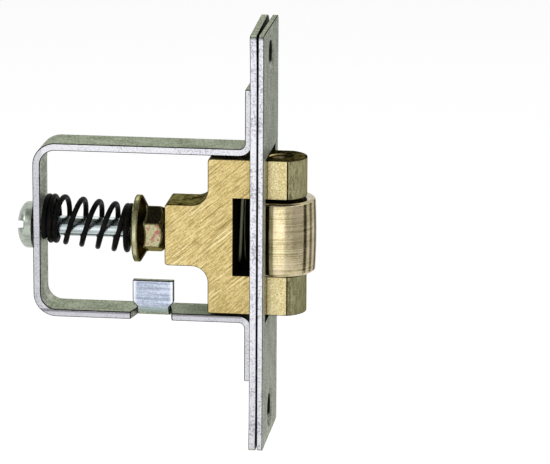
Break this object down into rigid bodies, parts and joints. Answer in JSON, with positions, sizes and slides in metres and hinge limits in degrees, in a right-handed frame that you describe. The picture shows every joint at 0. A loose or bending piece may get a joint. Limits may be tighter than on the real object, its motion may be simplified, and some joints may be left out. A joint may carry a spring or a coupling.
{
  "type": "roller catch",
  "caption": "Mortice roller catch: a sprung brass block with a roller projects through a forend from a folded steel bracket; a screw sets how far.",
  "frame": {"origin": "middle of the forend's front face", "axes": "+X out of the door's edge, the way the roller projects; +Z along the forend; +Y across the forend"},
  "size_m": [0.0501, 0.02, 0.07],
  "materials": {
    "forend_steel": "satin rolled steel",
    "bracket_steel": "satin rolled steel",
    "spring_steel": "black oiled wire",
    "sawn_brass": "sawn and brushed, with fine slanting scratches",
    "turned_brass": "turned, with fine rings",
    "zinc_plate": "bright zinc plate",
    "yellow_passivated": "yellow passivated zinc with a faint colour play"
  },
  "bodies": {
    "case": {"face_plate": "forend_steel", "backing_plate": "forend_steel", "bracket": "bracket_steel", "compression_spring": "spring_steel"},
    "slider": {"flange_nut": "yellow_passivated"},
    "block": {"roller_block": "sawn_brass", "roller_pin": "zinc_plate"},
    "wheel": {"roller": "turned_brass"},
    "screw": {"adjusting_screw": "zinc_plate"}
  },
  "joints": [
    {"name": "roller_push", "type": "slide", "parent": "case", "child": "slider", "axis": [1, 0, 0], "range_m": [-0.0058, 0], "stiffness_N_per_m": 1200, "springref_m": 0.003, "deforming": ["compression_spring"]},
    {"name": "screw_turn", "type": "hinge", "parent": "slider", "child": "screw", "pos_m": [-0.0245, 0, 0], "axis": [1, 0, 0], "range_deg": [-1081, 0]},
    {"name": "block_adjust", "type": "slide", "parent": "slider", "child": "block", "axis": [1, 0, 0], "range_m": [0, 0.0021]},
    {"name": "roller_spin", "type": "hinge", "parent": "block", "child": "wheel", "pos_m": [0.0017, 0, 0], "axis": [0, 0, 1], "continuous": true}
  ],
  "couplings": [
    {"joint": "screw_turn", "follows": "block_adjust", "rad_per_m": -8976}
  ]
}
